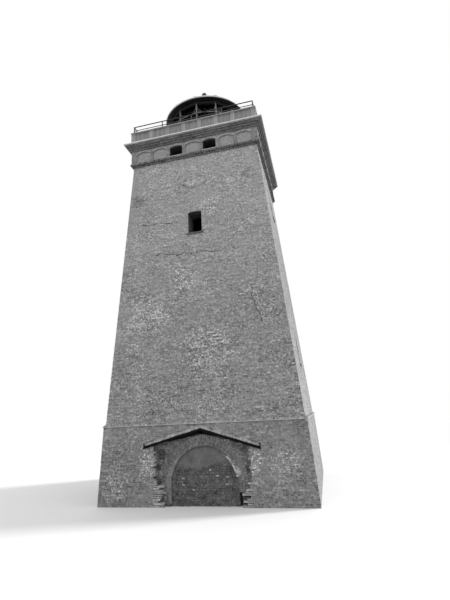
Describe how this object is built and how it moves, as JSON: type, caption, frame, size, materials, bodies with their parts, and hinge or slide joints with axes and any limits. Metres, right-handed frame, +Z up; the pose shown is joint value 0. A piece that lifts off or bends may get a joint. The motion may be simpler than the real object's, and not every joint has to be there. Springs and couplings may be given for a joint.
{
  "type": "lighthouse",
  "caption": "Square tapering brick lighthouse tower with a closed arched doorway, an arched frieze and cornice, a gallery and a domed lantern",
  "frame": {"origin": "centre of the tower's foot at ground level", "axes": "+Z up, the front with the closed doorway faces -Y, +X to the right"},
  "size_m": [7.78, 7.78, 20.78],
  "materials": {
    "brick_walls": "weathered brick in lime mortar",
    "brick_plinth": "weathered brick in lime mortar",
    "brick_trim": "moulded brick courses",
    "parapet_render": "streaked lime render",
    "coping_stone": "weathered stone",
    "arch_brick": "radial bricks",
    "rubble": "rubble and broken plaster",
    "drip_tiles": "dark slate and mortar",
    "sill_stone": "rough stone",
    "floor_boards": "plain floor",
    "deck_stone": "plain stone deck",
    "iron_dark": "dark painted iron",
    "iron_roof": "pale weathered paint",
    "lantern_glass": "clear"
  },
  "bodies": {
    "root": {"arch_infill": "rubble", "arch_ring": "arch_brick", "back_frieze": "brick_trim", "back_parapet": "parapet_render", "back_plinth": "brick_plinth", "back_wall": "brick_walls", "corbel_course": "brick_trim", "cornice": "brick_trim", "dome_ribs": "iron_roof", "eave_gutter": "iron_roof", "finial": "iron_dark", "first_floor": "floor_boards", "front_frieze": "brick_trim", "front_parapet": "parapet_render", "front_plinth": "brick_plinth", "front_wall": "brick_walls", "gable_drip": "drip_tiles", "gallery_deck": "deck_stone", "ground_floor": "floor_boards", "head_ring": "iron_dark", "lantern_base": "iron_roof", "lantern_dome": "iron_roof", "lantern_glass": "lantern_glass", "lantern_posts": "iron_dark", "lantern_sill": "iron_roof", "left_frieze": "brick_trim", "left_parapet": "parapet_render", "left_plinth": "brick_plinth", "left_wall": "brick_walls", "mid_rail": "iron_dark", "parapet_coping": "coping_stone", "post_brackets": "iron_dark", "railing_posts": "iron_dark", "right_frieze": "brick_trim", "right_parapet": "parapet_render", "right_plinth": "brick_plinth", "right_wall": "brick_walls", "roof_vent": "iron_roof", "second_floor": "floor_boards", "setoff_course": "brick_plinth", "toothing_bricks": "arch_brick", "top_rail": "iron_dark", "transom_bars": "iron_dark", "watch_room_floor": "floor_boards", "window_sills": "sill_stone"}
  },
  "joints": []
}
